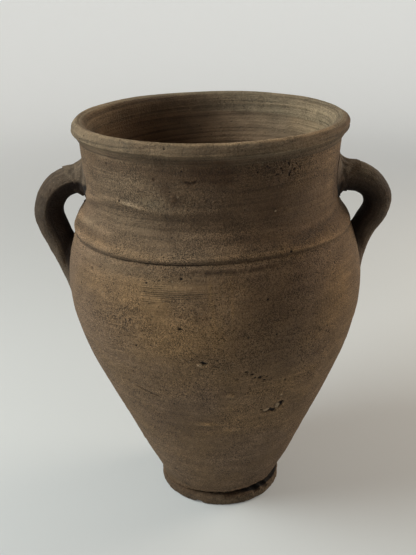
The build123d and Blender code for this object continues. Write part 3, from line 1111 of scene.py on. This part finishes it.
def grid_normals(points):
    """Outward directions on a tube of points."""
    down = np.gradient(points, axis=0)
    around = np.roll(points, -1, axis=1) - np.roll(points, 1, axis=1)
    normals = unit(np.cross(around, down))
    outwards = points - points.mean(axis=1)[:, None]
    return normals * np.sign(np.sum(normals * outwards, axis=2).mean())


def wall_gap(points):
    """Distance of points outside the wall, and the wall's outward directions there."""
    flat = np.linalg.norm(points[..., :2], axis=-1)
    height = points[..., 2]
    slope = (outer_radius(height + MM) - outer_radius(height - MM)) / (2 * MM)
    normals = np.concatenate([points[..., :2] / flat[..., None], -slope[..., None]], axis=-1)
    size = np.linalg.norm(normals, axis=-1)
    return (flat - outer_radius(height)) / size, normals / size[..., None]


def strap_marks(shape, look):
    """Marks for a strap's grid: soot on its outer face, painted shade on its inner one, and a bloom and
    painted highlight on top.
    """
    rows = np.linspace(0, 1, shape[0])[:, None]
    face = np.cos(ring_angles(shape[1]))[None, :]
    outer = np.interp(rows, *zip(*look["outer"]))
    inside = smooth_step(*look["change"], face - look["slide"] * rows)
    marks = no_marks(shape)
    marks["soot"] = outer + (look["inner"] - outer) * inside
    marks["bloom"] = np.interp(rows, *zip(*look["bloom"])) * smooth_step(*BLOOM_AND_HIGHLIGHT_FACE, face)
    return marks


def facing(points, closed, marks, step):
    """A grid for a mesh, its columns in an order in which its faces look outwards."""
    return warped(points)[:, ::step], closed, {mark: amount[:, ::step] for mark, amount in marks.items()}


def make_handle(name, strap, look):
    """One strap handle."""
    side, *_, seed = strap
    points = strap_grid(*strap[:-1])
    normals = grid_normals(points)
    depth = MM * layered(points + seed, HANDLE_BUMPS) + MM * layered(points, SAND_BUMPS)
    turn = ring_angles(points.shape[1])[None, :]
    rows = np.linspace(0, 1, points.shape[0])[:, None] * PULL_LENGTH
    place = np.stack(np.broadcast_arrays(np.cos(turn), np.sin(turn), rows), axis=-1)
    for scale, height, line_seed in PULL_LINES:
        depth += height * MM * lattice_noise(place, scale, line_seed + seed)
    points = points + normals * depth[..., None]
    gap, wall = wall_gap(points)
    low = smooth_step(*TAIL_BELOW, points[..., 2])
    spread = TAIL_FLARE * np.clip(1 - gap / TAIL_FLARE_REACH, 0, TAIL_FLARE_MOST) ** 2 * low
    along_wall = normals - np.sum(normals * wall, axis=2)[..., None] * wall
    points = points + along_wall * spread[..., None]
    marks = strap_marks(points.shape[:2], look)
    marks["relief"] = relief_of(depth)
    return make_mesh(name, [facing(points, False, marks, -side)])


def make_tongue(start, end, radii, seed):
    """A torn bit of clay that tapers from a start to an end, both in millimetres."""
    start = np.array(start) * MM
    end = np.array(end) * MM
    along = unit(end - start)
    across = unit(np.cross(along, (0, 1, 0)))
    third = np.cross(along, across)
    share = np.linspace(0, 1, TONGUE_ROWS)[:, None, None]
    turn = ring_angles(TONGUE_COLUMNS)[None, :, None]
    radius = (radii[0] + (radii[1] - radii[0]) * share) * MM
    ring = np.cos(turn) * across + TONGUE_FLAT * np.sin(turn) * third
    points = start + (end - start) * share + radius * ring
    torn = TONGUE_TEAR * lattice_noise(points + seed, TONGUE_SCALE, TONGUE_SEED)[..., None]
    return points + torn * radius * np.cos(turn)


def make_luting(name, strap, look):
    """Soft clay pressed into the corner between the neck and the upper root of a strap."""
    side, *_, seed = strap
    points = strap_grid(*strap[:-1])
    normals = grid_normals(points)
    gap, _ = wall_gap(points)
    columns = np.arange(points.shape[1])
    first = np.argmax(gap > 0, axis=0)
    last = first - 1
    share = gap[last, columns] / (gap[last, columns] - gap[first, columns])
    corner = points[last, columns] + (points[first, columns] - points[last, columns]) * share[:, None]
    lift = normals[first, columns]
    up = lift[:, 2]
    flank = 1 - up ** 2
    uneven = 1 + layered(corner + seed, LUTING_UNEVEN)
    reach = (LUTING_REACH["all"] + LUTING_REACH["up"] * up) * uneven * MM
    reach = np.round(reach / FINE_STEP).astype(int)
    on_strap = points[first + reach, columns]
    strap_normal = normals[first + reach, columns]
    _, wall = wall_gap(corner)
    sideways = unit(lift - np.sum(lift * wall, axis=1)[:, None] * wall)
    spread = LUTING_SPREAD["all"] + LUTING_SPREAD["up"] * up + LUTING_SPREAD["flank"] * flank
    on_wall = corner + sideways * (spread * uneven * MM)[:, None]
    flat = np.linalg.norm(on_wall[:, :2], axis=1)
    on_wall[:, :2] *= (outer_radius(on_wall[:, 2]) / flat)[:, None]
    _, wall = wall_gap(on_wall)
    outward = unit(strap_normal + wall)
    full = corner + outward * (LUTING_PAD * flank)[:, None]
    t = np.linspace(0, 1, LUTING_ROWS)[:, None, None]
    skin = (1 - t) ** 2 * on_strap + 2 * t * (1 - t) * full + t ** 2 * on_wall
    t = t[..., 0]
    facets = np.abs(lattice_noise(skin * FACET_STRETCH, FACET_SCALE, FACET_SEED + seed))
    facets = FACET_RISE * (1 - FACET_FALL * facets) + MM * layered(skin, SMEAR_BUMPS)
    facets = facets * np.sin(math.pi * t)
    lip = LUTING_LIP * smooth_step(*LIP_WIDTH, t) * uneven[None]
    skin = skin + outward[None] * facets[..., None] + strap_normal[None] * lip[..., None]
    hidden = np.array([on_wall - wall * LUTING_SUNK, corner - (wall + lift) * LUTING_SUNK,
                       on_strap - strap_normal * LUTING_SUNK])
    grid = np.concatenate([skin, hidden])
    marks = strap_marks(grid.shape[:2], look)
    edge = smooth_step(*LUTING_EDGE, t)
    under = smooth_step(*LUTING_UNDER, up)[None]
    seen = slice(LUTING_ROWS)
    marks["relief"][seen] = relief_of(facets) + LIP_RELIEF * lip
    clean = look["clean"] * edge * (1 - under)
    marks["soot"][seen] *= 1 - clean
    marks["ochre"][seen] = clean
    # Painted shade in the crease under the luting
    marks["hole"][seen] = LUTING_SHADE * edge * under
    grids = [facing(grid, True, marks, side)]
    for tongue in look["torn"]:
        torn = make_tongue(*tongue, seed)
        marks = no_marks(torn.shape[:2])
        marks["soot"] += TONGUE_SOOT * look["inner"]
        grids.append(facing(torn, False, marks, 1))
    return make_mesh(name, grids)


# Materials, whose helpers find the node tree that a socket belongs to

def new_material(name):
    """A material, its node tree and the inputs of its shader."""
    material = bpy.data.materials.new(name)
    material.use_nodes = True
    return material, material.node_tree, material.node_tree.nodes["Principled BSDF"].inputs


def plug(socket, value):
    """Link an input to an output, or set it to a value."""
    if isinstance(value, bpy.types.NodeSocket):
        socket.id_data.links.new(value, socket)
    else:
        socket.default_value = value


def add_node(tree, kind, **settings):
    """Outputs of a new node, its inputs linked or set by name, with its other settings."""
    node = tree.nodes.new(kind)
    for key, value in settings.items():
        name = key.replace("_", " ").title()
        if name in node.inputs:
            plug(node.inputs[name], value)
        else:
            setattr(node, key, value)
    return node.outputs


def stretched(place, scale):
    """A place with each axis scaled."""
    return add_node(place.id_data, "ShaderNodeMapping", vector=place, scale=scale)["Vector"]


def length(place):
    """Distance of a place from the origin."""
    return add_node(place.id_data, "ShaderNodeVectorMath", operation="LENGTH", vector=place)["Value"]


def rise(value, low, high, start=0, end=1):
    """Smooth change from start to end as a value goes from low to high."""
    return add_node(value.id_data, "ShaderNodeMapRange", interpolation_type="SMOOTHSTEP", value=value,
                    from_min=low, from_max=high, to_min=start, to_max=end)["Result"]


def noise(place, name, *ends):
    """One of the noises at a place, and its smooth change from a start to an end where it counts."""
    scale, detail, roughness, stretch, low, high = NOISES[name]
    if stretch:
        place = stretched(place, stretch)
    value = add_node(place.id_data, "ShaderNodeTexNoise", vector=place, scale=scale, detail=detail,
                     roughness=roughness)["Fac"]
    return value, rise(value, low, high, *ends)


def work_out(operation, first, second, clamp=False):
    """Arithmetic on an output and another value."""
    node = first.id_data.nodes.new("ShaderNodeMath")
    node.operation = operation
    node.use_clamp = clamp
    plug(node.inputs[0], first)
    plug(node.inputs[1], second)
    return node.outputs["Value"]


def plus(first, second, clamp=False):
    """Sum of two values."""
    return work_out("ADD", first, second, clamp)


def minus(first, second):
    """Difference of two values."""
    return work_out("SUBTRACT", first, second)


def times(first, second):
    """Product of two values."""
    return work_out("MULTIPLY", first, second)


def mixed(tree, share, first, second, blend="MIX"):
    """One colour over another."""
    node = tree.nodes.new("ShaderNodeMix")
    node.data_type = "RGBA"
    node.blend_type = blend
    node.clamp_factor = True
    for index, value in ((0, share), (6, first), (7, second)):
        plug(node.inputs[index], (*value, 1) if isinstance(value, tuple) else value)
    return node.outputs[2]


def make_clay(name, brown, grey, ochre, soot, ochre_share, soot_share, sandiness, streakiness):
    """Unglazed clay: two tones, the marked tones with their painted shade and light, streaks and sand,
    comb marks, grains and painted shade in hollows.
    """
    material, tree, shader = new_material(name)
    place = add_node(tree, "ShaderNodeTexCoord")["Object"]
    marks = {mark: add_node(tree, "ShaderNodeAttribute", attribute_name=mark)["Fac"] for mark in MARKS}

    # Tones, some marks among them painted shade and painted light
    _, clouds = noise(place, "clouds")
    _, patches = noise(place, "patches", 0, ochre_share)
    _, smoke = noise(place, "smoke", 0, soot_share)
    # Smoke clouds and the soot mark, which also carries painted shade
    smoke = plus(smoke, marks["soot"], clamp=True)
    colour = mixed(tree, clouds, brown, grey)
    colour = mixed(tree, plus(patches, marks["ochre"], clamp=True), colour, ochre)
    colour = mixed(tree, marks["ash"], colour, ASH)
    colour = mixed(tree, marks["bloom"], colour, BLOOM_AND_PAINTED_LIGHT)
    colour = mixed(tree, smoke, colour, soot)
    colour = mixed(tree, rise(marks["pale"], *STAINED), colour, PALE_STONE)

    # Streaks that run round the pot, and mottling
    axes = add_node(tree, "ShaderNodeSeparateXYZ", vector=place)
    across = plus(axes["Z"], length(stretched(place, (1, 1, 0))))
    around = add_node(tree, "ShaderNodeCombineXYZ", x=axes["X"], y=axes["Y"], z=across)["Vector"]
    streak_noise, streaks = noise(around, "streaks", -1, 1)
    streak_share = plus(times(marks["wiped"], WIPED_STREAKS), streakiness)
    _, mottle = noise(place, "mottle", *MOTTLE)
    streaks = times(plus(times(streaks, streak_share), 1), mottle)

    # Sand, less of it where the clay is sooty or painted with shade, or wiped
    sand_noise, sand = noise(place, "sand", -SAND_SHADE, SAND_SHADE)
    coarse_noise, coarse = noise(place, "coarse", -COARSE_SHADE, COARSE_SHADE)
    _, sandy = noise(place, "sandy", SANDY[0] * sandiness, SANDY[1] * sandiness)
    sandy = times(sandy, rise(smoke, 0, 1, 1, SAND_UNDER_SOOT_AND_SHADE))
    sandy = times(sandy, rise(marks["wiped"], 0, 1, 1, WIPED_SAND))
    shade = plus(times(sand, sandy), times(coarse, sandy))
    # Painted shade in hollows and lighter worn ridges, from how far each place stands out
    relief = rise(marks["relief"], -RELIEF_REACH, RELIEF_REACH, *RELIEF_SHADE)
    shade = times(plus(shade, streaks), relief)

    # Comb marks, in broken lines
    comb_place = minus(axes["Z"], times(axes["X"], COMB_SLOPE))
    comb_wave = work_out("SINE", times(comb_place, 2 * math.pi / COMB_PITCH), 0)
    _, breaks = noise(place, "breaks")
    comb = times(comb_wave, times(marks["comb"], breaks))
    shade = minus(shade, times(comb, COMB_SHADE))
    shade = work_out("MAXIMUM", shade, LEAST_SHADE)
    shades = add_node(tree, "ShaderNodeCombineColor", red=shade, green=shade, blue=shade)["Color"]
    colour = mixed(tree, 1, colour, shades, "MULTIPLY")

    # Pale and dark grains, more of them in rough patches, and painted shade in pits, grooves and gaps
    grains = add_node(tree, "ShaderNodeTexVoronoi", vector=place, scale=GRAIN_SCALE)
    chance = add_node(tree, "ShaderNodeSeparateColor", color=grains["Color"])
    middle = rise(grains["Distance"], *GRAIN_EDGE)
    pale_chance = plus(chance["Red"], times(marks["rough"], ROUGH_PALE))
    dark_chance = plus(chance["Green"], times(marks["rough"], ROUGH_DARK))
    pale_grain = times(middle, rise(pale_chance, *GRAIN_CHANCE))
    dark_grain = times(middle, rise(dark_chance, *GRAIN_CHANCE))
    clean = plus(times(smoke, -PALE_SHARE), PALE_SHARE)
    dark_grain = times(dark_grain, rise(marks["rough"], 0, 1, *DARK_SHARE))
    colour = mixed(tree, times(pale_grain, clean), colour, PALE_GRAIN)
    colour = mixed(tree, dark_grain, colour, DARK_GRAIN)
    colour = mixed(tree, rise(marks["hole"], *STAINED), colour, HOLLOW_SHADE)
    plug(shader["Base Color"], colour)

    # Fine bumps and gloss
    streak_bump = min(BUMP_STREAK_MOST, BUMP_STREAK * streakiness)
    height = plus(times(sand_noise, BUMP_SAND), coarse_noise)
    height = plus(height, times(streak_noise, streak_bump))
    height = minus(height, times(dark_grain, BUMP_GRAIN))
    height = minus(height, times(comb, COMB_BUMP))
    bump = add_node(tree, "ShaderNodeBump", strength=1, distance=BUMP_DEPTH, height=height)
    plug(shader["Normal"], bump["Normal"])
    plug(shader["Roughness"], rise(coarse_noise, *ROUGHNESS))
    plug(shader["Specular IOR Level"], SPECULAR)
    return material


# Stage, light and camera

def make_stage():
    """Pale round floor that rises into a backdrop on all sides."""
    turn = np.linspace(0, math.pi / 2, STAGE_STEPS)
    out = STAGE_FLAT + STAGE_CURVE * np.sin(turn)
    profile = np.stack([out, STAGE_CURVE - STAGE_CURVE * np.cos(turn)], axis=1)
    profile = np.concatenate([[[STAGE_HUB, 0]], profile, [[STAGE_FLAT + STAGE_CURVE, STAGE_TOP]]])
    around = ring_angles(STAGE_SIDES)
    points = [(r * math.cos(a), r * math.sin(a), z) for r, z in profile for a in around]
    faces = grid_faces(len(profile), STAGE_SIDES, False).tolist() + [list(range(STAGE_SIDES))]
    mesh = bpy.data.meshes.new("floor")
    mesh.from_pydata(points, [], faces)
    mesh.shade_smooth()
    material, tree, shader = new_material("pale_floor")
    plug(shader["Base Color"], STAGE_COLOUR)
    plug(shader["Roughness"], STAGE_ROUGHNESS)
    plug(shader["Emission Color"], STAGE_GLOW_COLOUR)
    rays = add_node(tree, "ShaderNodeLightPath")
    seen = plus(rays["Is Camera Ray"], rays["Is Glossy Ray"])
    seen = plus(seen, rays["Is Transmission Ray"], clamp=True)
    place = add_node(tree, "ShaderNodeTexCoord")["Object"]
    plug(shader["Emission Strength"], times(seen, rise(length(place), *STAGE_GLOW_REACH, *STAGE_GLOW)))
    mesh.materials.append(material)
    floor = put("floor", mesh)


def make_lamp(name, place, side, power, colour, spread):
    """A square soft lamp that points at the pot."""
    light = bpy.data.lights.new(name, "AREA")
    light.size = side
    light.energy = power
    light.color = colour
    light.spread = math.radians(spread)
    lamp = put(name, light)
    lamp.location = place
    lamp.rotation_euler = (Vector(LAMP_AIM) - Vector(place)).to_track_quat("-Z", "Y").to_euler()
    lamp.visible_camera = False


def make_camera():
    """Camera at the picture's viewing angle."""
    yaw, pitch, roll = (math.radians(angle) for angle in (CAMERA_YAW, CAMERA_PITCH, CAMERA_ROLL))
    level = Vector((math.cos(yaw), math.sin(yaw), 0))
    forward = Vector((-math.sin(yaw), math.cos(yaw), 0))
    ahead = forward * math.cos(pitch) - Vector((0, 0, math.sin(pitch)))
    down = ahead.cross(level)
    right = level * math.cos(roll) + down * math.sin(roll)
    up = level * math.sin(roll) - down * math.cos(roll)
    turn = Matrix((right, up, -ahead)).transposed()
    data = bpy.data.cameras.new("camera")
    data.sensor_fit = "VERTICAL"
    data.sensor_height = SENSOR_HEIGHT
    data.lens = SENSOR_HEIGHT * FOCAL_PIXELS / IMAGE_HEIGHT
    camera = put("camera", data)
    camera.matrix_world = Matrix.Translation((0, -CAMERA_DISTANCE, CAMERA_HEIGHT)) @ turn.to_4x4()
    bpy.context.scene.camera = camera


# The pot

clays = {name: make_clay(name, *look) for name, look in CLAYS.items()}
pieces = (
    (make_foot(), "foot_disc", "foot_clay"),
    (make_belly(), "belly_wall", "wall_clay"),
    (make_neck(), "shoulder_neck", "wall_clay"),
    (make_rim(), "rim_coil", "rim_clay"),
    (make_handle("left_handle_clay", LEFT_STRAP, LEFT_LOOK), "left_handle", "handle_clay"),
    (make_handle("right_handle_clay", RIGHT_STRAP, RIGHT_LOOK), "right_handle", "handle_clay"),
    (make_luting("left_luting_clay", LEFT_STRAP, LEFT_LUTING), "left_luting_coil", "handle_clay"),
    (make_luting("right_luting_clay", RIGHT_STRAP, RIGHT_LUTING), "right_luting_coil", "handle_clay"),
)
for piece, node, slot in pieces:
    piece.data.materials.append(clays[slot])
    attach(piece, "root")
    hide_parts(node)

make_stage()
for lamp in LAMPS:
    make_lamp(*lamp)
make_camera()

world = bpy.data.worlds.new("studio")
bpy.context.scene.world = world
world.use_nodes = True
background = world.node_tree.nodes["Background"].inputs
background["Color"].default_value = WORLD_COLOUR
background["Strength"].default_value = WORLD_STRENGTH
bpy.context.scene.view_settings.view_transform = "Standard"
